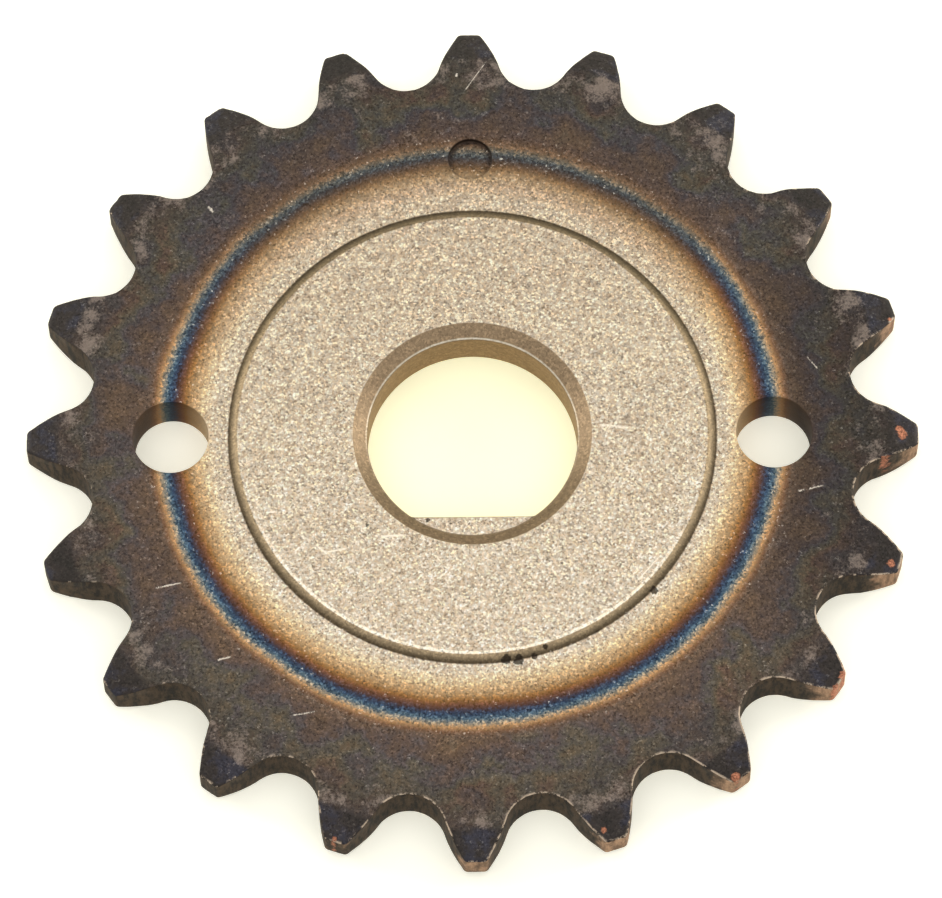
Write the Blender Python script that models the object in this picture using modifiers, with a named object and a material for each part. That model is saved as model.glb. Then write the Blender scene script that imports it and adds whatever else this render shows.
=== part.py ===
"""Sintered steel roller-chain sprocket: one toothed plate with a raised hub face, a D-shaped bore and two bolt holes.

Z runs along the bore, up out of the raised hub face. The origin is on the bore's axis, on the underside.
The bolt holes lie on X, the blind timing mark on +Y, and the bore's flat faces +Y from the -Y side.
"""

import math

import bmesh
import bpy

# The chain that the teeth run in, and how many there are.
CHAIN_PITCH = 0.009525
ROLLER_DIAMETER = 0.00508
TEETH = 20

# The plate, and the hub face that stands a little proud of it.
PLATE_THICKNESS = 0.0038
HUB_RISE = 0.00035
HUB_STEP_SLOPE = 0.0006

# How far the teeth stand out of their gaps for each unit of pitch, and how wide the gaps' round seats are.
TOOTH_HEIGHT_TO_PITCH = 0.4725
SEAT_ANGLE = math.radians(125)
TOOTH_TIP_CORNER = 0.0004

# The teeth are bevelled on both faces, so that they find their way between the chain's plates.
TOOTH_BEVEL_WIDTH = 0.0023
TOOTH_BEVEL_DROP = 0.00075

# The D-shaped bore, with a chamfer at its upper mouth.
BORE_DIAMETER = 0.0153
BORE_FLAT_DEPTH = 0.00143
BORE_CHAMFER_WIDTH = 0.00105
BORE_CHAMFER_DEPTH = 0.00078

# Two bolt holes, and the walls that they keep to the tooth gaps and to the hub face's step.
BOLT_HOLE_DIAMETER = 0.0055
RIM_WALL = 0.00325
STEP_WALL = 0.00145

# A shallow blind mark on the bolt holes' circle, a quarter turn from them.
TIMING_MARK_DIAMETER = 0.0032
TIMING_MARK_DEPTH = 0.0003

# How far a cutter runs past the face that it cuts through, the turned blank past the tooth tips,
# and the chamfer's cone into the bore.
CUTTER_OVERRUN = 0.002
BLANK_MARGIN = 0.0005
CHAMFER_OVERLAP = 0.00005

# Facets: a full turn, a bolt hole, and the arcs of one tooth gap.
TURN_STEPS = 160
BORE_STEPS = 96
HOLE_STEPS = 48
SEAT_STEPS = 14
FLANK_STEPS = 4
CORNER_STEPS = 4

# Sizes that follow from the chain: the standard tooth form, with its widest seats and its most curved flanks.
PITCH_RADIUS = CHAIN_PITCH / (2 * math.sin(math.pi / TEETH))
ROOT_RADIUS = PITCH_RADIUS - ROLLER_DIAMETER / 2
TIP_RADIUS = ROOT_RADIUS + TOOTH_HEIGHT_TO_PITCH * CHAIN_PITCH
SEAT_RADIUS = 0.505 * ROLLER_DIAMETER + 0.069 * (ROLLER_DIAMETER * 1000) ** (1 / 3) / 1000
FLANK_RADIUS = 0.12 * ROLLER_DIAMETER * (TEETH + 2)

# Sizes that follow from the walls: the holes stand inside the tooth gaps, and the hub face inside the holes.
BOLT_HOLE_RADIUS = BOLT_HOLE_DIAMETER / 2
BOLT_CIRCLE_RADIUS = ROOT_RADIUS - RIM_WALL - BOLT_HOLE_RADIUS
STEP_FOOT_RADIUS = BOLT_CIRCLE_RADIUS - BOLT_HOLE_RADIUS - STEP_WALL
HUB_RADIUS = STEP_FOOT_RADIUS - HUB_STEP_SLOPE
HUB_TOP = PLATE_THICKNESS + HUB_RISE
BEVEL_START_RADIUS = TIP_RADIUS - TOOTH_BEVEL_WIDTH
BORE_RADIUS = BORE_DIAMETER / 2


def clear_scene():
    """Takes away whatever the file opened with."""
    for obj in list(bpy.data.objects):
        bpy.data.objects.remove(obj, do_unlink=True)


def new_collection(name):
    collection = bpy.data.collections.new(name)
    bpy.context.scene.collection.children.link(collection)
    return collection


def sintered_steel():
    """Pressed and sintered steel, dark with oxide over most of its face."""
    material = bpy.data.materials.new("sintered_steel")
    material.use_nodes = True
    shader = material.node_tree.nodes["Principled BSDF"]
    shader.inputs["Base Color"].default_value = (0.17, 0.14, 0.12, 1.0)
    shader.inputs["Metallic"].default_value = 0.85
    shader.inputs["Roughness"].default_value = 0.5
    return material


def arc(centre, radius, start, end, steps):
    """Points along an arc, from one angle to the other, both ends included."""
    angles = [start + (end - start) * step / steps for step in range(steps + 1)]
    return [(centre[0] + radius * math.cos(a), centre[1] + radius * math.sin(a)) for a in angles]


def tooth_side():
    """One side of a tooth gap that points up Y: seat, flank, tip corner and half of the tip, out from the middle."""
    seat_centre = (0.0, ROOT_RADIUS + SEAT_RADIUS)
    bottom = -math.pi / 2
    seat_end = bottom + SEAT_ANGLE / 2

    # The flank bulges into the gap, and runs on from the seat without a kink.
    reach = SEAT_RADIUS + FLANK_RADIUS
    flank_centre = (
        seat_centre[0] + reach * math.cos(seat_end),
        seat_centre[1] + reach * math.sin(seat_end),
    )

    # The tip corner touches the flank's circle and the tip's circle from inside both.
    from_axis = TIP_RADIUS - TOOTH_TIP_CORNER
    from_flank = FLANK_RADIUS - TOOTH_TIP_CORNER
    between = math.hypot(*flank_centre)
    turn = math.acos((from_axis**2 + between**2 - from_flank**2) / (2 * from_axis * between))
    corner_angle = math.atan2(flank_centre[1], flank_centre[0]) + turn
    corner_centre = (from_axis * math.cos(corner_angle), from_axis * math.sin(corner_angle))
    flank_start = seat_end + math.pi
    flank_end = math.atan2(corner_centre[1] - flank_centre[1], corner_centre[0] - flank_centre[0])
    tooth_middle = math.pi / 2 - math.pi / TEETH

    seat = arc(seat_centre, SEAT_RADIUS, bottom, seat_end, SEAT_STEPS // 2)
    flank = arc(flank_centre, FLANK_RADIUS, flank_start, flank_end, FLANK_STEPS)
    corner = arc(corner_centre, TOOTH_TIP_CORNER, flank_end, corner_angle, CORNER_STEPS)
    tip = arc((0.0, 0.0), TIP_RADIUS, corner_angle, tooth_middle, 1)
    return seat + flank[1:] + corner[1:] + tip[1:]


def turned(point, angle):
    cosine, sine = math.cos(angle), math.sin(angle)
    return (point[0] * cosine - point[1] * sine, point[0] * sine + point[1] * cosine)


def toothed_outline():
    """All the gaps and teeth in turn, against the clock. The first tooth points along +X."""
    right = tooth_side()
    left = [(-x, y) for x, y in right[1:-1]]
    gap = right[::-1] + left
    first_gap = math.pi / TEETH - math.pi / 2
    outline = []
    for number in range(TEETH):
        angle = first_gap + number * 2 * math.pi / TEETH
        outline += [turned(point, angle) for point in gap]
    return outline


def d_outline():
    """The bore's circle with a straight chord across its -Y side."""
    chord = BORE_RADIUS - BORE_FLAT_DEPTH
    end = math.asin(chord / BORE_RADIUS)
    return arc((0.0, 0.0), BORE_RADIUS, -end, math.pi + end, BORE_STEPS)


def extruded(name, outline, bottom, top, collection):
    """A flat outline made solid between two heights."""
    curve = bpy.data.curves.new(name, "CURVE")
    curve.dimensions = "2D"
    curve.fill_mode = "BOTH"
    curve.extrude = (top - bottom) / 2
    spline = curve.splines.new("POLY")
    spline.points.add(len(outline) - 1)
    for point, (x, y) in zip(spline.points, outline):
        point.co = (x, y, 0.0, 1.0)
    spline.use_cyclic_u = True
    flat = bpy.data.objects.new(name + "_curve", curve)
    flat.location.z = (top + bottom) / 2
    collection.objects.link(flat)
    bpy.context.view_layer.update()

    mesh = bpy.data.meshes.new_from_object(flat.evaluated_get(bpy.context.evaluated_depsgraph_get()))
    welded = bmesh.new()
    welded.from_mesh(mesh)
    bmesh.ops.remove_doubles(welded, verts=welded.verts, dist=1e-7)
    bmesh.ops.recalc_face_normals(welded, faces=welded.faces)
    welded.to_mesh(mesh)
    welded.free()
    mesh.name = name
    solid = bpy.data.objects.new(name, mesh)
    solid.matrix_world = flat.matrix_world.copy()
    collection.objects.link(solid)
    bpy.data.objects.remove(flat, do_unlink=True)
    bpy.data.curves.remove(curve)
    return solid


def lathed(name, profile, steps, collection):
    """A profile of radius and height, from the axis at its top to the axis at its foot, turned about Z.

    It starts half a facet round from X, so that no edge of it meets a corner of the teeth or the holes.
    """
    start = math.pi / steps
    mesh = bpy.data.meshes.new(name)
    shape = bmesh.new()
    points = [shape.verts.new((r * math.cos(start), r * math.sin(start), z)) for r, z in profile]
    for upper, lower in zip(points, points[1:]):
        shape.edges.new((upper, lower))
    shape.to_mesh(mesh)
    shape.free()
    solid = bpy.data.objects.new(name, mesh)
    collection.objects.link(solid)
    screw = solid.modifiers.new("turn", "SCREW")
    screw.axis = "Z"
    screw.steps = steps
    screw.render_steps = steps
    screw.use_merge_vertices = True
    screw.merge_threshold = 0.000001
    return solid


def drill(name, radius, bottom, top, place, collection):
    """A cylinder that cuts a round hole between two heights."""
    bpy.ops.mesh.primitive_cylinder_add(
        vertices=HOLE_STEPS,
        radius=radius,
        depth=top - bottom,
        location=(place[0], place[1], (top + bottom) / 2),
    )
    cutter = bpy.context.object
    cutter.name = name
    for owner in list(cutter.users_collection):
        owner.objects.unlink(cutter)
    collection.objects.link(cutter)
    return cutter


def as_cutter(obj):
    obj.hide_render = True
    obj.display_type = "WIRE"
    return obj


def cut(solid, cutter, operation="DIFFERENCE"):
    boolean = solid.modifiers.new(cutter.name, "BOOLEAN")
    boolean.operation = operation
    boolean.solver = "EXACT"
    boolean.object = as_cutter(cutter)


def blank_profile():
    """Half of the turned blank: hub face, step, plate face, and the bevels, which run on past the tooth tips."""
    rim_radius = TIP_RADIUS + BLANK_MARGIN
    rim_drop = TOOTH_BEVEL_DROP * (TOOTH_BEVEL_WIDTH + BLANK_MARGIN) / TOOTH_BEVEL_WIDTH
    return [
        (0.0, HUB_TOP),
        (HUB_RADIUS, HUB_TOP),
        (STEP_FOOT_RADIUS, PLATE_THICKNESS),
        (BEVEL_START_RADIUS, PLATE_THICKNESS),
        (rim_radius, PLATE_THICKNESS - rim_drop),
        (rim_radius, rim_drop),
        (BEVEL_START_RADIUS, 0.0),
        (0.0, 0.0),
    ]


def chamfer_profile():
    """The countersink's cone, carried on at the same slope above the hub face and a little way into the bore."""
    slope = BORE_CHAMFER_WIDTH / BORE_CHAMFER_DEPTH
    foot_radius = BORE_RADIUS - CHAMFER_OVERLAP
    foot = HUB_TOP - BORE_CHAMFER_DEPTH - CHAMFER_OVERLAP / slope
    head = HUB_TOP + CUTTER_OVERRUN
    return [
        (0.0, head),
        (foot_radius + (head - foot) * slope, head),
        (foot_radius, foot),
        (0.0, foot),
    ]


def sprocket(parts, cutters):
    """The turned blank, with its teeth, bore, chamfer, bolt holes and timing mark cut in that order."""
    below, above = -CUTTER_OVERRUN, HUB_TOP + CUTTER_OVERRUN
    blank = lathed("sprocket", blank_profile(), TURN_STEPS, parts)
    cut(blank, extruded("tooth_form", toothed_outline(), below, above, cutters), "INTERSECT")
    cut(blank, extruded("bore_form", d_outline(), below, above, cutters))
    cut(blank, lathed("bore_chamfer", chamfer_profile(), BORE_STEPS, cutters))
    for side, x in (("left", -BOLT_CIRCLE_RADIUS), ("right", BOLT_CIRCLE_RADIUS)):
        cut(blank, drill("bolt_hole_" + side, BOLT_HOLE_RADIUS, below, above, (x, 0.0), cutters))
    mark_floor = PLATE_THICKNESS - TIMING_MARK_DEPTH
    mark_place = (0.0, BOLT_CIRCLE_RADIUS)
    cut(blank, drill("timing_mark", TIMING_MARK_DIAMETER / 2, mark_floor, above, mark_place, cutters))
    return blank


def settled(solid):
    """Fixes the cuts into the mesh, and shades it smooth with its real edges sharp."""
    bpy.context.view_layer.update()
    mesh = bpy.data.meshes.new_from_object(solid.evaluated_get(bpy.context.evaluated_depsgraph_get()))
    mesh.name = solid.name
    solid.modifiers.clear()
    solid.data = mesh
    mesh.shade_smooth()
    mesh.set_sharp_from_angle(angle=math.radians(20))
    return solid


clear_scene()
part = settled(sprocket(new_collection("chain_sprocket"), new_collection("cutters")))
part.data.materials.clear()
part.data.materials.append(sintered_steel())
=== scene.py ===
"""A sintered steel chain sprocket, heat-tinted by its tooth hardening, lying flat on a pale table."""
import math

import bmesh
import bpy
import numpy as np
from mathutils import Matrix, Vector, kdtree, noise


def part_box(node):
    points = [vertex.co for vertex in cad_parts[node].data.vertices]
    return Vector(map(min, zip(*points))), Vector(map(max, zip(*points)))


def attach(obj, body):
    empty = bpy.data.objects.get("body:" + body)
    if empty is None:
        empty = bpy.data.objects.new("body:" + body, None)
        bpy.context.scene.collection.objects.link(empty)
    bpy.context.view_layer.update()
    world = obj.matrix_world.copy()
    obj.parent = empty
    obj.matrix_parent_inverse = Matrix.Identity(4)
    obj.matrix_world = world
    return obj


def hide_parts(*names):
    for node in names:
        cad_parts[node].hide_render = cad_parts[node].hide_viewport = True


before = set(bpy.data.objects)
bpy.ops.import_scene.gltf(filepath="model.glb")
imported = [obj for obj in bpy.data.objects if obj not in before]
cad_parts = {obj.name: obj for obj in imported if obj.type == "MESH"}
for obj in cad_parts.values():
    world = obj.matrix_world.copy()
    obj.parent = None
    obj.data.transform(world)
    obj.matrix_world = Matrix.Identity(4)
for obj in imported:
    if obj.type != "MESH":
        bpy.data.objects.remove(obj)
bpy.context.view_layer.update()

# ---------------------------------------------------------------- sprocket: its shape
# One piece of steel, pressed from powder in a toothed die, sintered, and sized to its final form.
# Its corners are broken by tumbling, so each edge is a small uneven round, softest on the tooth tips.
# All sizes are in millimetres until the mesh is made.
MM = 0.001
_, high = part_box("sprocket")

TEETH = 20
PITCH = 9.525
ROLLER = 5.08
SEAT_HALF_ANGLE = math.radians(62.5)
TIP_CORNER = 0.4
PLATE_TOP = 3.8
HUB_TOP = high.z / MM
TIP_RADIUS = high.x / MM
ROOT_RADIUS = PITCH / (2 * math.sin(math.pi / TEETH)) - ROLLER / 2
SEAT_RADIUS = 0.505 * ROLLER + 0.069 * ROLLER ** (1 / 3)
FLANK_RADIUS = 0.12 * ROLLER * (TEETH + 2)
BEVEL_START = TIP_RADIUS - 2.3
BEVEL_SLOPE = 0.75 / 2.3
BEVEL_BLEND = 0.35

BORE_RADIUS = 7.65
BORE_FLAT = 6.22
CHAMFER_FOOT = HUB_TOP - 0.78
CHAMFER_MOUTH = BORE_RADIUS + 1.05
STEP_HEAD = 17.104
STEP_FOOT = 17.704
BOLT_CIRCLE = 21.904
BOLT_HOLE_RADIUS = 2.75
MARK_RADIUS = 1.6
MARK_DEPTH = 0.3

# How finely the mesh follows the shape. The grid is a stack of rings that all have the same spokes.
SEAT_STEPS, FLANK_STEPS, CORNER_STEPS, TIP_STEPS = 9, 8, 5, 4
BREAK_STEPS = 4
EDGE_STEPS = 4
TOOTH_RINGS = 18
UNDER_RINGS = 9
TOOTH_ROOT_RING = 26.9
HUB_RINGS = (10.5, 12.6, 14.8)
PLATE_RINGS = (18.6, 20.8, 23.0, 25.2, 26.1)


def gap_side():
    """Half of a tooth gap that points up Y, as points of the outline and its outward normals."""
    seat_centre = np.array((0.0, ROOT_RADIUS + SEAT_RADIUS))
    seat_end = SEAT_HALF_ANGLE - math.pi / 2
    reach = SEAT_RADIUS + FLANK_RADIUS
    flank_centre = seat_centre + reach * np.array((math.cos(seat_end), math.sin(seat_end)))

    from_axis = TIP_RADIUS - TIP_CORNER
    between = math.hypot(*flank_centre)
    cosine = (from_axis**2 + between**2 - (FLANK_RADIUS - TIP_CORNER) ** 2) / (2 * from_axis * between)
    corner_angle = math.atan2(flank_centre[1], flank_centre[0]) + math.acos(cosine)
    corner_centre = from_axis * np.array((math.cos(corner_angle), math.sin(corner_angle)))
    flank_end = math.atan2(*(corner_centre - flank_centre)[::-1])
    tooth_middle = math.pi / 2 - math.pi / TEETH

    arcs = (
        (seat_centre, SEAT_RADIUS, -math.pi / 2, seat_end, SEAT_STEPS, -1),
        (flank_centre, FLANK_RADIUS, seat_end + math.pi, flank_end, FLANK_STEPS, 1),
        (corner_centre, TIP_CORNER, flank_end, corner_angle, CORNER_STEPS, 1),
        (np.zeros(2), TIP_RADIUS, corner_angle, tooth_middle, TIP_STEPS, 1),
    )
    points, normals = [], []
    for centre, radius, start, end, steps, outward in arcs:
        for step in range(steps):
            angle = start + (end - start) * step / steps
            away = np.array((math.cos(angle), math.sin(angle)))
            points.append(centre + radius * away)
            normals.append(outward * away)
    middle = np.array((math.cos(tooth_middle), math.sin(tooth_middle)))
    return points + [TIP_RADIUS * middle], normals + [middle]


def toothed_outline():
    """The whole outline against the clock from the first tooth's middle, which points along +X."""
    points, normals = (np.array(side) for side in gap_side())
    mirror = np.array((-1.0, 1.0))
    gap = np.concatenate((points[::-1], points[1:-1] * mirror))
    facing = np.concatenate((normals[::-1], normals[1:-1] * mirror))
    all_points, all_normals = [], []
    for number in range(TEETH):
        angle = math.pi / TEETH - math.pi / 2 + number * 2 * math.pi / TEETH
        turn = np.array(((math.cos(angle), math.sin(angle)), (-math.sin(angle), math.cos(angle))))
        all_points.append(gap @ turn)
        all_normals.append(facing @ turn)
    return np.concatenate(all_points), np.concatenate(all_normals)


def ragged(points, scale, seed):
    """Smooth noise from -1 to 1 at each of the points, the same on every run."""
    return np.array([noise.noise(Vector((x * scale, y * scale, z * scale + seed))) for x, y, z in points])


def face_drop(radius):
    """How far the tooth bevel lies below the face at this radius, with the bevel's start rounded over."""
    past = np.asarray(radius) - BEVEL_START
    blended = (past + BEVEL_BLEND) ** 2 / (4 * BEVEL_BLEND)
    return BEVEL_SLOPE * np.where(past > BEVEL_BLEND, past, np.where(past > -BEVEL_BLEND, blended, 0.0))


def broken(profile, steps=BREAK_STEPS):
    """A profile of (radius, height, round), with each corner that has a round turned into a short curve."""
    made = []
    for index, (radius, height, size) in enumerate(profile):
        corner = np.array((radius, height))
        if not size:
            made.append(corner)
            continue
        before = np.array(profile[index - 1][:2]) - corner
        after = np.array(profile[index + 1][:2]) - corner
        start = corner + before / np.linalg.norm(before) * size
        end = corner + after / np.linalg.norm(after) * size
        for step in range(steps + 1):
            t = step / steps
            made.append((1 - t) ** 2 * start + 2 * t * (1 - t) * corner + t**2 * end)
    return made


outline, outward = toothed_outline()
columns = len(outline)
even = np.arange(columns) * 2 * math.pi / columns
spokes = np.stack((np.cos(even), np.sin(even)), axis=1)
around = np.column_stack((outline, np.zeros(columns)))

# Tumbling and handling leave the teeth's edges uneven, and nick a few of them.
waver = 0.022 * ragged(around, 1.1, 3.0) + 0.012 * ragged(around, 3.4, 8.0)
outline = outline + outward * np.minimum(waver, 0.0)[:, None]
top_round = 0.12 + 0.05 * ragged(around, 0.7, 14.0) + 0.05 * ragged(around, 2.6, 21.0)
bottom_round = 0.12 + 0.05 * ragged(around, 0.8, 33.0) + 0.04 * ragged(around, 2.9, 41.0)
nicks = np.clip(ragged(around, 1.9, 57.0) - 0.42, 0.0, 1.0)
top_round = np.clip(top_round + 0.55 * nicks, 0.05, 0.3)
bottom_round = np.clip(bottom_round, 0.05, 0.3)

# The bore is a circle with a chord across its -Y side; the chamfer stops above that chord, on a ledge.
down = np.cos(even + math.pi / 2)
chord = np.where(down > BORE_FLAT / BORE_RADIUS, BORE_FLAT / np.maximum(down, 0.1), BORE_RADIUS)

rings = []


def ring(radius, height):
    """Adds one ring of the surface: a radius and a height for each spoke."""
    radius = np.broadcast_to(radius, columns)
    rings.append(np.column_stack((spokes * radius[:, None], np.broadcast_to(height, columns))))


def tooth_ring(share, inset, height_at):
    """Adds one ring between the root ring and the outline drawn in by an inset."""
    rim = outline - outward * np.broadcast_to(inset, columns)[:, None]
    flat = spokes * TOOTH_ROOT_RING * (1 - share) + rim * share
    rings.append(np.column_stack((flat, height_at(np.linalg.norm(flat, axis=1)))))


# From the bore's lower edge up its wall, over the ledge and the chamfer, and out over the hub face.
for radius, height in broken(((0.5, 0.0, 0), (0.0, 0.0, 0.12), (0.0, 1.0, 0)), 3)[1:]:
    ring(chord + radius, height)
for height in (1.7, 2.5):
    ring(chord, height)
ledge = np.minimum(0.12, (BORE_RADIUS - chord) / 2)
for step in range(4):
    t = step / 3
    ring(chord + ledge * t**2, CHAMFER_FOOT - ledge * (1 - t) ** 2)
ring((chord + BORE_RADIUS) / 2, CHAMFER_FOOT)
inner = broken(
    (
        (BORE_RADIUS - 0.3, CHAMFER_FOOT - 0.5, 0),
        (BORE_RADIUS, CHAMFER_FOOT, 0.06),
        (CHAMFER_MOUTH, HUB_TOP, 0.09),
        (STEP_HEAD, HUB_TOP, 0.14),
        (STEP_FOOT, PLATE_TOP, 0.16),
        (STEP_FOOT + 1.0, PLATE_TOP, 0),
    )
)[1:-1]
corner_points = BREAK_STEPS + 1
for radius, height in inner[:corner_points]:
    ring(np.maximum(radius, chord), height)
for radius, height in inner[corner_points : 2 * corner_points]:
    ring(radius, height)
for radius in HUB_RINGS:
    ring(radius, HUB_TOP)
for radius, height in inner[2 * corner_points :]:
    ring(radius, height)
top_patch_start = len(rings)
for radius in PLATE_RINGS:
    ring(radius, PLATE_TOP)
top_patch_end = len(rings) - 2

# Out over the teeth, round the tips' and gaps' edges, and down the wall between the two bevels.
tooth_ring(0.0, 0.0, lambda r: PLATE_TOP - face_drop(r))
for step in range(1, TOOTH_RINGS + 1):
    tooth_ring(step / TOOTH_RINGS, top_round, lambda r: PLATE_TOP - face_drop(r))
rim_radius = np.linalg.norm(outline, axis=1)
top_edge = PLATE_TOP - face_drop(rim_radius)
bottom_edge = face_drop(rim_radius)
for step in range(1, EDGE_STEPS + 1):
    angle = math.pi / 2 * step / EDGE_STEPS
    inset = top_round * (1 - math.sin(angle))
    tooth_ring(1.0, inset, lambda r: top_edge - top_round * (1 - math.cos(angle)))
for share in (0.3, 0.7):
    down_wall = (top_edge - top_round) * (1 - share) + (bottom_edge + bottom_round) * share
    tooth_ring(1.0, 0.0, lambda r: down_wall)
for step in range(EDGE_STEPS, -1, -1):
    angle = math.pi / 2 * step / EDGE_STEPS
    inset = bottom_round * (1 - math.sin(angle))
    tooth_ring(1.0, inset, lambda r: bottom_edge + bottom_round * (1 - math.cos(angle)))

# Back in over the underside to the bore.
for step in range(UNDER_RINGS - 1, -1, -1):
    tooth_ring(step / UNDER_RINGS, bottom_round, face_drop)
bottom_patch_start = len(rings)
for radius in PLATE_RINGS[-2::-1]:
    ring(radius, 0.0)
bottom_patch_end = len(rings) - 1
for radius in (15.0, 11.5):
    ring(radius, 0.0)
ring(chord + 0.5, 0.0)

# The rings are joined up, leaving out a patch of the flat faces round each bolt hole and the timing mark.
shape = bmesh.new()
grid = [[shape.verts.new(Vector(place) * MM) for place in one] for one in rings]


def patch_columns(x, y, half_width):
    """The spokes that a patch takes out, as the first one and how many gaps between spokes."""
    middle = round(math.atan2(y, x) / (2 * math.pi / columns))
    reach = math.ceil(half_width / BOLT_CIRCLE / (2 * math.pi / columns))
    return middle - reach, 2 * reach


bolt_holes = ((BOLT_CIRCLE, 0.0), (-BOLT_CIRCLE, 0.0))
mark = (0.0, BOLT_CIRCLE)
HOLE_PATCH = 3.6
MARK_PATCH = 2.6
patches = []
for x, y in bolt_holes:
    patches.append((x, y, top_patch_start, top_patch_end, *patch_columns(x, y, HOLE_PATCH)))
    patches.append((x, y, bottom_patch_start, bottom_patch_end, *patch_columns(x, y, HOLE_PATCH)))
patches.append((*mark, top_patch_start, top_patch_end, *patch_columns(*mark, MARK_PATCH)))
taken = {
    (row, (first + step) % columns)
    for _, _, start, end, first, count in patches
    for row in range(start, end)
    for step in range(count)
}
for row in range(len(rings)):
    lower, upper = grid[row], grid[(row + 1) % len(rings)]
    for column in range(columns):
        if (row, column) in taken:
            continue
        after = (column + 1) % columns
        corners = (lower[column], upper[column], upper[after], lower[after])
        shape.faces.new(corners)


def patch_rim(start, end, first, count):
    """The grid's vertices round a patch that was taken out, in order."""
    near = [grid[start][(first + step) % columns] for step in range(count + 1)]
    far = [grid[end][(first + step) % columns] for step in range(count + 1)]
    left = [grid[row][first % columns] for row in range(start, end + 1)]
    right = [grid[row][(first + count) % columns] for row in range(start, end + 1)]
    return near[:-1] + right[:-1] + far[:0:-1] + left[:0:-1]


def hoop(x, y, radius, height, count):
    """A ring of vertices round a hole's axis, against the clock."""
    turns = [step * 2 * math.pi / count for step in range(count)]
    return [
        shape.verts.new(Vector((x + radius * math.cos(a), y + radius * math.sin(a), height)) * MM)
        for a in turns
    ]


def zip_up(rim, circle, x, y):
    """Fills the flat face between a patch's rim and a circle inside it with triangles."""

    def bearing(vertex):
        return math.atan2(vertex.co.y / MM - y, vertex.co.x / MM - x) % (2 * math.pi)

    outer = sorted(rim, key=bearing)
    inner_ring = sorted(circle, key=bearing)
    i = j = 0
    while i < len(outer) or j < len(inner_ring):
        here, there = outer[i % len(outer)], inner_ring[j % len(inner_ring)]
        next_outer, next_inner = outer[(i + 1) % len(outer)], inner_ring[(j + 1) % len(inner_ring)]
        outer_bearing = bearing(next_outer) + (2 * math.pi if i + 1 >= len(outer) else 0.0)
        inner_bearing = bearing(next_inner) + (2 * math.pi if j + 1 >= len(inner_ring) else 0.0)
        if j >= len(inner_ring) or (i < len(outer) and outer_bearing <= inner_bearing):
            shape.faces.new((here, next_outer, there))
            i += 1
        else:
            shape.faces.new((here, next_inner, there))
            j += 1


def loft(hoops):
    """Joins hoops of equal count, one to the next."""
    for one, other in zip(hoops, hoops[1:]):
        for step in range(len(one)):
            after = (step + 1) % len(one)
            shape.faces.new((one[step], one[after], other[after], other[step]))


# The bolt holes go right through, with a small round at each end.
HOLE_STEPS = 128
HOLE_ROUND = 0.1
for index, (x, y) in enumerate(bolt_holes):
    curve = [math.pi / 2 * step / 3 for step in range(4)]
    upper = [(HOLE_ROUND * (1 - math.sin(a)), PLATE_TOP - HOLE_ROUND * (1 - math.cos(a))) for a in curve]
    lower = [(HOLE_ROUND * (1 - math.sin(a)), HOLE_ROUND * (1 - math.cos(a))) for a in reversed(curve)]
    walls = upper + [(0.0, 2.6), (0.0, 1.2)] + lower
    hoops = [hoop(x, y, BOLT_HOLE_RADIUS + out, height, HOLE_STEPS) for out, height in walls]
    loft(hoops)
    zip_up(patch_rim(*patches[2 * index][2:]), hoops[0], x, y)
    zip_up(patch_rim(*patches[2 * index + 1][2:]), hoops[-1], x, y)

# The timing mark is a shallow pressed dimple with a flat floor.
MARK_STEPS = 96
mark_floor = PLATE_TOP - MARK_DEPTH
mark_sides = (
    (0.06, PLATE_TOP),
    (0.02, PLATE_TOP - 0.02),
    (0.0, PLATE_TOP - 0.06),
    (0.0, mark_floor + 0.08),
    (-0.03, mark_floor + 0.02),
    (-0.1, mark_floor),
    (-0.8, mark_floor),
)
hoops = [hoop(*mark, MARK_RADIUS + out, height, MARK_STEPS) for out, height in mark_sides]
loft(hoops)
shape.faces.new(hoops[-1])
zip_up(patch_rim(*patches[-1][2:]), hoops[0], *mark)

SAME_POINT = 0.0004
SHARP_CORNER = math.radians(50)
bmesh.ops.remove_doubles(shape, verts=shape.verts, dist=SAME_POINT * MM)
bmesh.ops.recalc_face_normals(shape, faces=shape.faces)
body_mesh = bpy.data.meshes.new("sprocket_body")
shape.to_mesh(body_mesh)
shape.free()
body_mesh.shade_smooth()
body_mesh.set_sharp_from_angle(angle=SHARP_CORNER)
sprocket_body = bpy.data.objects.new("sprocket_body", body_mesh)
bpy.context.scene.collection.objects.link(sprocket_body)

# How far each point of the faces lies in from the toothed outline, which the wear along the rim follows.
rim_tree = kdtree.KDTree(columns)
for index, (x, y) in enumerate(outline):
    rim_tree.insert((x, y, 0.0), index)
rim_tree.balance()
inward = [rim_tree.find((v.co.x / MM, v.co.y / MM, 0.0))[2] for v in body_mesh.vertices]
body_mesh.attributes.new("rim_distance", "FLOAT", "POINT").data.foreach_set("value", inward)


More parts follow.
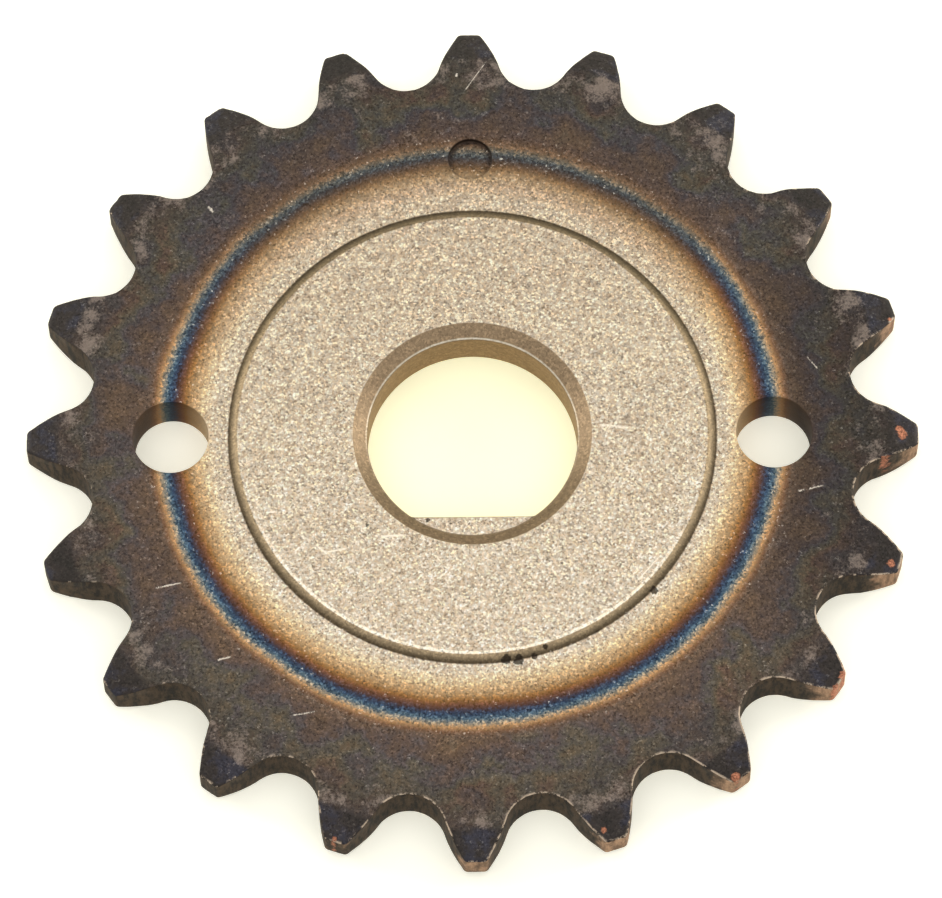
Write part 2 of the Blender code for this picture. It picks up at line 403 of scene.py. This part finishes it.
# ---------------------------------------------------------------- sprocket: its finish
# Bare sintered steel in the middle. The rim was heated to harden the teeth, which left a ring of temper
# colours where the heat stopped and dark scale outside it, rubbed through where the chain has run.
class Wire:
    """One output of a node. Each sum written on it adds a Math node and gives that node's output."""

    def __init__(self, finish, socket):
        self.finish = finish
        self.socket = socket

    def sum(self, operation, *others):
        values = {str(n): v for n, v in enumerate((self, *others))}
        return self.finish.node("ShaderNodeMath", {"operation": operation}, values)

    def __add__(self, other):
        return self.sum("ADD", other)

    def __sub__(self, other):
        return self.sum("SUBTRACT", other)

    def __mul__(self, other):
        return self.sum("MULTIPLY", other)

    def __truediv__(self, other):
        return self.sum("DIVIDE", other)

    def __rsub__(self, other):
        return self.finish.node("ShaderNodeMath", {"operation": "SUBTRACT"}, {"0": other, "1": self})

    def __pow__(self, other):
        return self.sum("POWER", other)

    __radd__ = __add__
    __rmul__ = __mul__

    def step(self, low_edge, high_edge):
        """0 below the low edge and 1 above the high one, smooth between; the edges may run either way."""
        settings = {"interpolation_type": "SMOOTHSTEP"}
        flip = low_edge > high_edge
        edges = {
            "Value": self,
            "From Min": min(low_edge, high_edge),
            "From Max": max(low_edge, high_edge),
            "To Min": float(flip),
            "To Max": float(not flip),
        }
        return self.finish.node("ShaderNodeMapRange", settings, edges)


class Finish:
    """The nodes of a material or of the surround, being wired up."""

    def __init__(self, owner, shader="Principled BSDF"):
        owner.use_nodes = True
        self.tree = owner.node_tree
        self.shader = self.tree.nodes[shader]

    def node(self, kind, settings, values, output=0):
        """Adds a node: its settings first, then its sockets' values or links. Returns one output."""
        made = self.tree.nodes.new(kind)
        for name, value in settings.items():
            if name == "stops":
                ramp = made.color_ramp
                while len(ramp.elements) < len(value):
                    ramp.elements.new(1.0)
                for element, (place, colour) in zip(ramp.elements, value):
                    element.position = place
                    element.color = (*colour, 1.0)
            else:
                setattr(made, name, value)
        for name, value in values.items():
            socket = made.inputs[int(name)] if name.isdigit() else made.inputs[name]
            if isinstance(value, Wire):
                self.tree.links.new(value.socket, socket)
            else:
                socket.default_value = value
        return Wire(self, made.outputs[output])

    def set(self, **values):
        """Sets or links the shader's own sockets, whose names are written with underscores."""
        for name, value in values.items():
            socket = self.shader.inputs[name.replace("_", " ").title().replace("Ior", "IOR")]
            if isinstance(value, Wire):
                self.tree.links.new(value.socket, socket)
            else:
                socket.default_value = value

    def noise(self, place, scale, detail, roughness):
        """Cloudy noise, mostly from 0.2 to 0.8, with about this many blotches along one unit of the place."""
        values = {"Vector": place, "Scale": scale, "Detail": detail, "Roughness": roughness}
        return self.node("ShaderNodeTexNoise", {"noise_dimensions": "3D"}, values)

    def mix(self, share, first, second, blend="MIX"):
        """The first colour where the share is 0, and the second, or the two multiplied, where it is 1."""
        settings = {"data_type": "RGBA", "blend_type": blend, "clamp_result": False}
        return self.node("ShaderNodeMix", settings, {"0": share, "6": first, "7": second}, 2)

    def ramp(self, value, stops):
        """A colour that passes through the stops, each a place from 0 to 1 and a colour."""
        return self.node("ShaderNodeValToRGB", {"stops": stops}, {"Fac": value})

    def split(self, vector):
        """The three parts of a vector."""
        parts = self.node("ShaderNodeSeparateXYZ", {}, {"0": vector}).socket.node
        return [Wire(self, part) for part in parts.outputs]


def paint(red, green, blue):
    """A colour given from 0 to 255 as it looks, turned into the linear light that shaders use."""
    shown = (red / 255, green / 255, blue / 255)
    return tuple(c / 12.92 if c <= 0.04 else ((c + 0.055) / 1.055) ** 2.4 for c in shown)


def solid(red, green, blue):
    """The same, as an opaque colour."""
    return (*paint(red, green, blue), 1.0)


def times(red, green, blue):
    """The shares of a colour's red, green and blue that a mix by multiplying keeps."""
    return (red, green, blue, 1.0)


sintered_steel = bpy.data.materials.new("sintered_steel")
steel = Finish(sintered_steel)
place_in_metres = steel.node("ShaderNodeTexCoord", {}, {}, 3)
place = steel.node("ShaderNodeVectorMath", {"operation": "SCALE"}, {"0": place_in_metres, "Scale": 1 / MM})
x, y, z = steel.split(place)
radius = (x * x + y * y).sum("SQRT")
faces_along = steel.node("ShaderNodeNewGeometry", {}, {}, 1)
upright = steel.split(faces_along)[2].sum("ABSOLUTE")

# The powder's grain: fused grains about a sixth of a millimetre across, light and dark, and broader patches.
GRAINS_PER_MM = 6.6
cell = steel.node(
    "ShaderNodeTexVoronoi",
    {"feature": "F1", "voronoi_dimensions": "3D"},
    {"Vector": place, "Scale": GRAINS_PER_MM, "Randomness": 1.0},
    1,
)
cell, cell_hue, _ = steel.split(cell)
grain = steel.noise(place, 6.4, 3.0, 0.7)
clump = steel.noise(place, 2.1, 3.0, 0.6)
cloud = steel.noise(place, 0.16, 3.0, 0.6)
patchy = steel.noise(place, 0.45, 4.0, 0.65)
edge_noise = steel.noise(place, 1.1, 4.0, 0.7)
fine = steel.noise(place, 13.0, 2.0, 0.6)
speckle = (cell - 0.5) * 0.75 + (grain - 0.5) * 1.5 + (fine - 0.5) * 0.8

# Where the surface lies: the flat faces, the pressed slopes of the bore and the step, and the upright walls.
is_flat = upright.step(0.9, 0.985)
is_wall = upright.step(0.62, 0.35)
in_bore = radius.step(9.0, 8.8)
on_top = z.step(2.6, 2.9)
off_the_table = z.step(0.6, 1.2)
rim_distance = steel.node("ShaderNodeAttribute", {"attribute_name": "rim_distance"}, {}, 2)
rightward = x / radius
farther = y / radius

# The heat's edge: the coil sat a little off the bore's centre, so the ring of colours does too. The colours
# are given by how far out from the coil's edge they lie, in millimetres.
COIL_RADIUS = 22.0
heat = radius - COIL_RADIUS + rightward * 0.18 - farther * 0.23
heat = heat + (cloud - 0.5) * 0.7 + (grain - 0.5) * 0.5 + (cell - 0.5) * 0.22
TINT_START, TINT_END = -3.4, 3.0
tint_share = (heat - TINT_START) / (TINT_END - TINT_START)
near_side_tint = (
    (-3.4, (211, 192, 166)),
    (-2.6, (204, 180, 148)),
    (-2.2, (190, 162, 126)),
    (-1.6, (161, 132, 96)),
    (-1.2, (140, 102, 60)),
    (-0.85, (108, 74, 54)),
    (-0.55, (82, 62, 58)),
    (-0.3, (56, 60, 77)),
    (0.0, (55, 73, 95)),
    (0.3, (81, 100, 112)),
    (0.6, (147, 136, 118)),
    (0.85, (168, 133, 95)),
    (1.15, (120, 91, 69)),
    (1.5, (97, 82, 71)),
    (3.0, (86, 75, 66)),
)
# The far side's table holds the ring's colours darkened and greyed by painted shade.
far_side_shaded_tint = (
    (-3.4, (188, 170, 147)),
    (-2.4, (170, 149, 126)),
    (-1.8, (158, 137, 110)),
    (-1.2, (133, 108, 80)),
    (-0.8, (101, 80, 61)),
    (-0.4, (78, 67, 61)),
    (-0.1, (66, 67, 70)),
    (0.2, (80, 84, 84)),
    (0.5, (108, 98, 84)),
    (0.8, (114, 92, 73)),
    (1.15, (93, 75, 61)),
    (1.6, (85, 71, 64)),
    (3.0, (74, 66, 60)),
)


def tint_stops(table):
    """A table of tints as the stops of a ramp."""
    span = TINT_END - TINT_START
    return [((at - TINT_START) / span, paint(*colour)) for at, colour in table]


near_tint = steel.ramp(tint_share, tint_stops(near_side_tint))
shaded_far_tint = steel.ramp(tint_share, tint_stops(far_side_shaded_tint))
far_side = (farther + (cloud - 0.5) * 0.6).step(0.2, 0.85)
tinted = steel.mix(far_side, near_tint, shaded_far_tint)

# Bare steel in the middle, with painted shade making it a little less bright towards the far side.
bare = steel.mix(clump.step(0.3, 0.7), solid(192, 175, 154), solid(212, 197, 177))
shaded_bare = steel.mix(1.0, bare, times(0.8, 0.785, 0.77), "MULTIPLY")
bare = steel.mix((y + (cloud - 0.5) * 12.0).step(-14.0, 24.0), bare, shaded_bare)
is_bare = heat.step(-3.0, -3.5)
base = steel.mix(is_bare, tinted, bare)

# Dark scale outside it, with thin films that turn from brown through olive, red-brown and violet to blue
# towards the teeth, which are charcoal.
film = steel.noise(place, 0.24, 5.0, 0.6)
film_at = (film - 0.5) * 1.5 + (radius - 25.4) * 0.07 + 0.5
films = steel.ramp(
    film_at,
    (
        (0.05, paint(86, 77, 64)),
        (0.22, paint(90, 71, 54)),
        (0.36, paint(77, 62, 53)),
        (0.46, paint(69, 57, 56)),
        (0.54, paint(56, 56, 66)),
        (0.62, paint(64, 66, 62)),
        (0.72, paint(80, 72, 56)),
        (0.8, paint(82, 61, 50)),
        (0.9, paint(62, 52, 57)),
        (1.0, paint(54, 54, 60)),
    ),
)
is_scale = heat.step(1.1, 2.2)
base = steel.mix(is_scale * 0.62, base, films)
charcoal = (radius + (patchy - 0.5) * 5.0).step(25.5, 29.5)
base = steel.mix(charcoal * 0.68, base, solid(54, 51, 50))

# Painted light and shade on the scale: paler and browner on the near side, and blacker on the right.
lit_side = is_scale * (0.5 - farther * 0.5)
base = steel.mix(lit_side * 0.3, base, steel.mix(1.0, base, times(1.9, 1.75, 1.55), "MULTIPLY"))
right_side_shade = is_scale * rightward.step(0.75, 1.0)
base = steel.mix(right_side_shade * 0.85, base, steel.mix(1.0, base, times(0.55, 0.57, 0.62), "MULTIPLY"))

# The bevels on the teeth were pressed against the die's polished slope: darker and smoother.
on_bevel = (radius + (patchy - 0.5) * 0.5).step(BEVEL_START - 0.2, BEVEL_START + 0.35) * on_top
bevel_shades = ((0.3, paint(38, 36, 34)), (0.5, paint(50, 45, 43)), (0.62, paint(50, 50, 60)))
bevel_paint = steel.ramp(patchy, bevel_shades)
base = steel.mix(on_bevel * 0.9, base, bevel_paint)

# Painted shade in the foot of the timing mark, darkest on its far side.
from_mark = (x ** 2.0 + (y - BOLT_CIRCLE) ** 2.0).sum("SQRT")
within_mark = from_mark.step(MARK_RADIUS + 0.12, MARK_RADIUS - 0.02)
mark_wall = within_mark * from_mark.step(MARK_RADIUS - 0.5, MARK_RADIUS - 0.1)
mark_shade = (mark_wall * (y - BOLT_CIRCLE).step(-1.9, 1.0) + mark_wall * 0.3) * on_top
base = steel.mix(mark_shade.sum("MINIMUM", 1.0) * 0.8, base, solid(40, 32, 28))

# The chamfer of the bore with painted shade on its near half, and the step round the hub with painted shade
# and a painted highlight on its upper edge.
slope_paint = steel.mix(clump, solid(142, 122, 98), solid(168, 146, 118))
on_slope = upright.step(0.93, 0.88) * radius.step(19.0, 18.8)
base = steel.mix(on_slope, base, slope_paint)
past_step_head = radius.step(STEP_HEAD - 0.1, STEP_HEAD + 0.02)
on_step = past_step_head * radius.step(STEP_FOOT + 0.12, STEP_FOOT - 0.02) * on_top
# Painted shade: the step darkens towards its foot, and more on its far side.
shaded_step_paint = steel.mix(z.step(PLATE_TOP, HUB_TOP), solid(78, 67, 51), solid(166, 147, 118))
shaded_step_paint = steel.mix(farther.step(0.2, 0.9) * 0.55, shaded_step_paint, solid(62, 54, 42))
base = steel.mix(on_step, base, shaded_step_paint)
# Painted highlights: a bright line on the hub's near upper edge, and one at the foot of the bore's chamfer,
# brightest on the far side.
hub_highlight = radius.step(STEP_HEAD - 0.3, STEP_HEAD - 0.18) * radius.step(STEP_HEAD, STEP_HEAD - 0.06)
hub_highlight = hub_highlight * on_top * farther.step(-0.1, -0.85)
chamfer_highlight = radius.step(BORE_RADIUS + 0.15, BORE_RADIUS + 0.08)
chamfer_highlight = chamfer_highlight * z.step(CHAMFER_FOOT - 0.1, CHAMFER_FOOT - 0.02)
chamfer_highlight = chamfer_highlight * upright.step(0.97, 0.93) * (farther.step(-0.3, 0.8) * 0.65 + 0.12)
lip_highlight = hub_highlight.sum("MAXIMUM", chamfer_highlight) * (clump + 0.45).sum("MINIMUM", 1.0)
base = steel.mix(lip_highlight * 0.95, base, solid(252, 242, 220))
shaded_side = on_slope * (1 - on_step) * (0.45 - farther).step(0.0, 1.2)
base = steel.mix(shaded_side * 0.6, base, steel.mix(1.0, base, times(0.42, 0.42, 0.42), "MULTIPLY"))

# The die's and core rods' walls: brown inside the bore, dark in the tooth gaps, bare tan on the tips.
bore_wall = steel.mix(clump, solid(142, 118, 88), solid(174, 148, 116))
base = steel.mix(is_wall * in_bore, base, bore_wall)
HOLES_FROM, HOLES_TO = 18.9, 25.3
hole_wall = is_wall * radius.step(HOLES_FROM, HOLES_FROM + 0.2) * radius.step(HOLES_TO, HOLES_TO - 0.2)
base = steel.mix(hole_wall, base, steel.mix(1.0, base, times(0.9, 0.86, 0.78), "MULTIPLY"))
STRETCHED_UPRIGHT = (1.0, 1.0, 0.25)
stretched = {"0": place, "1": STRETCHED_UPRIGHT}
streak_place = steel.node("ShaderNodeVectorMath", {"operation": "MULTIPLY"}, stretched)
streak = steel.noise(streak_place, 2.2, 4.0, 0.7)
wall_paint = steel.mix(streak.step(0.35, 0.65), solid(38, 34, 29), solid(80, 65, 50))
outer_wall = is_wall * radius.step(27.3, 27.5)
base = steel.mix(outer_wall, base, wall_paint)
tan_tip = (radius + (patchy - 0.5) * 4.0 - farther * 0.6 + rightward * 1.7).step(32.3, 33.4)
tan = steel.mix(streak.step(0.3, 0.7), solid(106, 84, 66), solid(176, 142, 114))
base = steel.mix(outer_wall * tan_tip, base, tan)

# Grains, which show less on the pressed slopes and walls.
depth = is_flat * 0.5 + 0.5 - is_wall * 0.2
lighter = speckle.step(0.03, 0.55) * depth
duller = speckle.step(-0.03, -0.6) * depth
light_grain = steel.mix(1.0, base, times(2.1, 2.08, 2.02), "MULTIPLY")
BRIGHTEST = (0.93, 0.91, 0.87)
light_grain = steel.node("ShaderNodeVectorMath", {"operation": "MINIMUM"}, {"0": light_grain, "1": BRIGHTEST})
dark_grain = steel.mix(1.0, base, times(0.3, 0.29, 0.28), "MULTIPLY")
base = steel.mix(lighter * (0.95 - is_scale * 0.25), base, light_grain)
base = steel.mix(duller * 0.9, base, dark_grain)

# Each grain leans a little warm or cool, and a few of them carry painted glints.
hued = steel.mix(cell_hue, times(1.07, 0.98, 0.9), times(0.94, 1.0, 1.1))
base = steel.mix(is_flat * (0.9 - is_scale * 0.45), base, steel.mix(1.0, base, hued, "MULTIPLY"))
painted_glint = cell.step(0.95, 0.98) * fine.step(0.5, 0.6) * patchy.step(0.4, 0.6)
painted_glint = painted_glint * is_flat * (1.0 - is_scale * 0.7)
base = steel.mix(painted_glint * 0.6, base, solid(244, 238, 228))

# Scale rubbed through to steel: in flecks over the tooth faces, and along the edges of the gaps.
rubbed_steel = steel.mix(grain, solid(104, 94, 88), solid(176, 160, 150))
rub_zone = radius.step(27.0, 29.2) * (1 - radius.step(BEVEL_START - 0.4, BEVEL_START + 0.3))
rub = patchy * 0.62 + edge_noise * 0.42 + grain * 0.24 + rub_zone * 0.11 + farther * 0.02
rub = rub.step(0.725, 0.87) * is_scale * is_flat
base = steel.mix(rub * 0.6, base, rubbed_steel)
EDGE_WEAR = 0.13
at_edge = (rim_distance + (grain - 0.5) * 0.25).step(EDGE_WEAR + 0.08, EDGE_WEAR - 0.1)
off_and_on = edge_noise * 0.75 + grain * 0.3 - farther * 0.06 + rightward * 0.05
worn_edge = at_edge * (1 - is_wall) * off_and_on.step(0.555, 0.64)
base = steel.mix(worn_edge * 0.85, base, solid(210, 190, 168))


def blot(x_at, y_at, size):
    """A blot about one point, on the top face and down the wall below it, with a ragged edge."""
    gap = ((x - x_at) ** 2.0 + (y - y_at) ** 2.0).sum("SQRT")
    edge = gap + (edge_noise - 0.5) * size * 2.2 + (grain - 0.5) * 0.4
    return edge.step(size, size * 0.75) * off_the_table


def scratch(x_from, y_from, x_to, y_to, width):
    """A scratch between two points of the top face, breaking up towards its ends."""
    long_x, long_y = x_to - x_from, y_to - y_from
    length = math.hypot(long_x, long_y)
    along = ((x - x_from) * (long_x / length) + (y - y_from) * (long_y / length)) / length
    across = ((x - x_from) * (long_y / length) - (y - y_from) * (long_x / length)).sum("ABSOLUTE")
    inside = along.step(-0.02, 0.1) * along.step(1.02, 0.85)
    broken_up = (edge_noise + (fine - 0.5) * 0.6).step(0.36, 0.5)
    line = (across + (grain - 0.5) * width * 3.0).step(width, width * 0.3)
    return line * inside * broken_up * on_top


def joined(masks):
    """Several masks as one."""
    total = masks[0]
    for mask in masks[1:]:
        total = total.sum("MAXIMUM", mask)
    return total


# Copper-coloured blots on the tooth tips, where copper in the powder has come to the surface. Each has its
# place and its size.
copper_blots = (
    (31.2, -0.1, 0.42),
    (30.95, 0.25, 0.22),
    (30.1, -2.45, 0.58),
    (29.5, -2.75, 0.42),
    (30.15, -10.1, 0.34),
    (28.9, -11.6, 0.52),
    (26.75, -17.9, 0.5),
    (26.6, -18.7, 0.66),
    (26.1, -19.7, 0.62),
    (18.5, -26.2, 0.36),
    (30.6, 9.0, 0.2),
    (9.1, -30.2, 0.2),
    (-10.0, -30.6, 0.24),
    (19.4, -27.3, 0.45),
)
copper = joined([blot(*spot) for spot in copper_blots])
copper_paint = steel.mix(grain.step(0.35, 0.65), solid(118, 74, 54), solid(214, 142, 110))
base = steel.mix(copper * 0.85, base, copper_paint)

# Knocks and scratches from handling, through to bright metal. Each has its two ends and its width.
scratches = (
    (23.5, -4.65, 25.4, -4.2, 0.09),
    (24.4, 5.9, 25.2, 4.9, 0.06),
    (-19.3, 18.3, -18.9, 17.8, 0.13),
    (-22.9, -11.7, -21.0, -11.3, 0.08),
    (1.3, 29.9, -0.4, 27.4, 0.05),
    (-0.9, 28.9, -1.0, 28.6, 0.1),
    (-18.4, -17.25, -17.4, -17.0, 0.09),
    (-13.0, -21.5, -11.2, -21.2, 0.07),
    (-11.4, -8.6, -9.9, -9.8, 0.08),
    (-10.7, -9.2, -9.0, -8.9, 0.09),
    (-6.8, -8.0, -4.6, -7.9, 0.11),
    (9.2, 0.5, 11.3, 0.3, 0.13),
    (9.6, -0.5, 10.2, 0.9, 0.08),
    (13.6, -9.5, 11.6, -11.8, 0.07),
)
scratched = joined([scratch(*line) for line in scratches])
base = steel.mix(scratched * (0.9 - is_scale * 0.25), base, solid(246, 236, 222))

# Dirt in the foot of the step on the near side, specks of it round the bore, and a few open pores.
dirt_places = (
    (2.3, -17.4, 0.4),
    (3.2, -17.5, 0.42),
    (4.3, -17.2, 0.22),
    (5.1, -16.55, 0.16),
    (13.0, -12.2, 0.3),
    (-7.6, -7.1, 0.18),
    (-3.3, -6.45, 0.16),
)
dirt = joined([blot(*spot) for spot in dirt_places])
pores = steel.noise(place, 1.6, 2.0, 0.5).step(0.26, 0.2) * is_flat
base = steel.mix(dirt.sum("MAXIMUM", pores) * 0.85, base, solid(34, 28, 23))

# The walls are roughest, and the lips, bevels and rubbed places smoothest. The grain stands up and the
# scratches are sunk in.
roughness = 0.52 + is_wall * 0.2 - lip_highlight * 0.15 + (grain - 0.5) * 0.3
roughness = roughness - on_bevel * 0.1 + is_scale * 0.04 - rub * 0.08
height = speckle * 0.5 * depth + (clump - 0.5) * 0.4 - scratched * 0.7 - is_wall * (streak - 0.5) * 0.3
RELIEF = 0.03
bump = steel.node("ShaderNodeBump", {}, {"Strength": 0.55, "Distance": RELIEF * MM, "Height": height})
metallic = 0.78 - is_scale * 0.4 + rub * 0.3
steel.set(base_color=base, metallic=metallic, roughness=roughness, normal=bump, specular_ior_level=0.2)
body_mesh.materials.append(sintered_steel)
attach(sprocket_body, "root")
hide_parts("sprocket")

# ---------------------------------------------------------------- table
# A sheet of smooth off-white card that the sprocket lies on, swept up behind it so that no edge shows.
# It lies a hair below the part, so that the part's underside shows clean from below. Sizes are in metres.
CARD_TOP = -0.00002
CARD_NEAR_EDGE, CARD_HALF_WIDTH = -1.5, 2.0
SWEEP_START, SWEEP_RADIUS, SWEEP_STEPS = 0.6, 0.5, 16
CARD_BACK_TOP = 2.0
CARD_COLOUR = (0.93, 0.92, 0.85, 1.0)
FIBRE_COLOUR = (0.96, 0.95, 0.88, 1.0)
CARD_GLOW = (1.0, 0.985, 0.82, 1.0)
FIBRES_PER_METRE = 900.0
card_mesh = bpy.data.meshes.new("card")
card = bpy.data.objects.new("card", card_mesh)
bpy.context.scene.collection.objects.link(card)
card_shape = bmesh.new()
card_line = [(CARD_NEAR_EDGE, CARD_TOP), (SWEEP_START, CARD_TOP)]
for step in range(1, SWEEP_STEPS + 1):
    angle = math.pi / 2 * step / SWEEP_STEPS
    swept = (SWEEP_START + SWEEP_RADIUS * math.sin(angle), CARD_TOP + SWEEP_RADIUS * (1 - math.cos(angle)))
    card_line.append(swept)
card_line.append((SWEEP_START + SWEEP_RADIUS, CARD_BACK_TOP))
left_edge = [card_shape.verts.new((-CARD_HALF_WIDTH, along, up)) for along, up in card_line]
right_edge = [card_shape.verts.new((CARD_HALF_WIDTH, along, up)) for along, up in card_line]
for n in range(len(card_line) - 1):
    card_shape.faces.new((left_edge[n], right_edge[n], right_edge[n + 1], left_edge[n + 1]))
card_shape.to_mesh(card_mesh)
card_shape.free()
card_mesh.shade_smooth()
card_paper = bpy.data.materials.new("card")
paper = Finish(card_paper)
paper_place = paper.node("ShaderNodeTexCoord", {}, {}, 3)
fibre = paper.noise(paper_place, FIBRES_PER_METRE, 3.0, 0.6)
card_colour = paper.mix(fibre, CARD_COLOUR, FIBRE_COLOUR)

# A painted reflection of light off the brown wall of the bore leaves the card in it a little yellower, in
# colour and glow. The tint ends under the part.
PAINTED_BOUNCE_TINT = times(1.0, 0.99, 0.78)
YELLOW_GONE = (BORE_RADIUS + 1.85) * MM
YELLOW_WITHIN = (BORE_RADIUS + 0.85) * MM
from_middle = paper.node("ShaderNodeVectorMath", {"operation": "LENGTH"}, {"0": paper_place}, 1)
painted_bounce_share = from_middle.step(YELLOW_GONE, YELLOW_WITHIN)
paper.set(
    base_color=paper.mix(painted_bounce_share, card_colour, PAINTED_BOUNCE_TINT, "MULTIPLY"),
    roughness=0.85,
    emission_color=paper.mix(painted_bounce_share, CARD_GLOW, PAINTED_BOUNCE_TINT, "MULTIPLY"),
    emission_strength=0.4,
)
card_mesh.materials.append(card_paper)

# ---------------------------------------------------------------- light
# A pale dome, brightest overhead and darker towards the back, with a soft lamp low on each side.
DOME_LEVELS = ((0.05, 0.24), (0.6, 0.5), (0.97, 1.45))
DARKER_BEHIND = 0.4
world = bpy.data.worlds.new("surround")
bpy.context.scene.world = world
surround = Finish(world, "Background")
direction = surround.node("ShaderNodeTexCoord", {}, {})
_, behind, overhead = surround.split(direction)
dome_stops = [(height, (level, level * 0.985, level * 0.955)) for height, level in DOME_LEVELS]
surround.set(color=surround.ramp(overhead, dome_stops), strength=1.0 - behind * DARKER_BEHIND)


LAMP_COLOUR = (1.0, 0.97, 0.93)
LAMP_SIZE = 0.3


def soft_lamp(name, place, power):
    """A round soft lamp that faces the sprocket, with its place in metres and its power in watts."""
    lamp = bpy.data.lights.new(name, "AREA")
    lamp.shape = "DISK"
    lamp.size = LAMP_SIZE
    lamp.energy = power
    lamp.color = LAMP_COLOUR
    holder = bpy.data.objects.new(name, lamp)
    holder.location = place
    holder.rotation_euler = (-Vector(place)).to_track_quat("-Z", "Y").to_euler()
    bpy.context.scene.collection.objects.link(holder)


soft_lamp("left_lamp", (-0.9, 0.35, 0.34), 2.9)
soft_lamp("right_lamp", (0.9, 0.35, 0.34), 3.6)

# ---------------------------------------------------------------- camera
# It looks down at about 68 degrees from the side of the bore's flat, half a metre away. The tilt is from
# straight down; the lean and the turn are small.
CAMERA_PLACE = Vector((0.000913035, -0.185277616, 0.462137262))
CAMERA_TILT, CAMERA_LEAN, CAMERA_TURN = 21.88664, 0.30358, -0.43797
SENSOR_WIDTH = 36.0
LENS = 260.392
NEAREST, FARTHEST = 0.01, 10.0
camera_data = bpy.data.cameras.new("camera")
camera_data.sensor_width = SENSOR_WIDTH
camera_data.lens = LENS
camera_data.clip_start = NEAREST
camera_data.clip_end = FARTHEST
camera = bpy.data.objects.new("camera", camera_data)
camera.location = CAMERA_PLACE
camera.rotation_euler = [math.radians(angle) for angle in (CAMERA_TILT, CAMERA_LEAN, CAMERA_TURN)]
bpy.context.scene.collection.objects.link(camera)
bpy.context.scene.camera = camera
bpy.context.scene.view_settings.view_transform = "Standard"
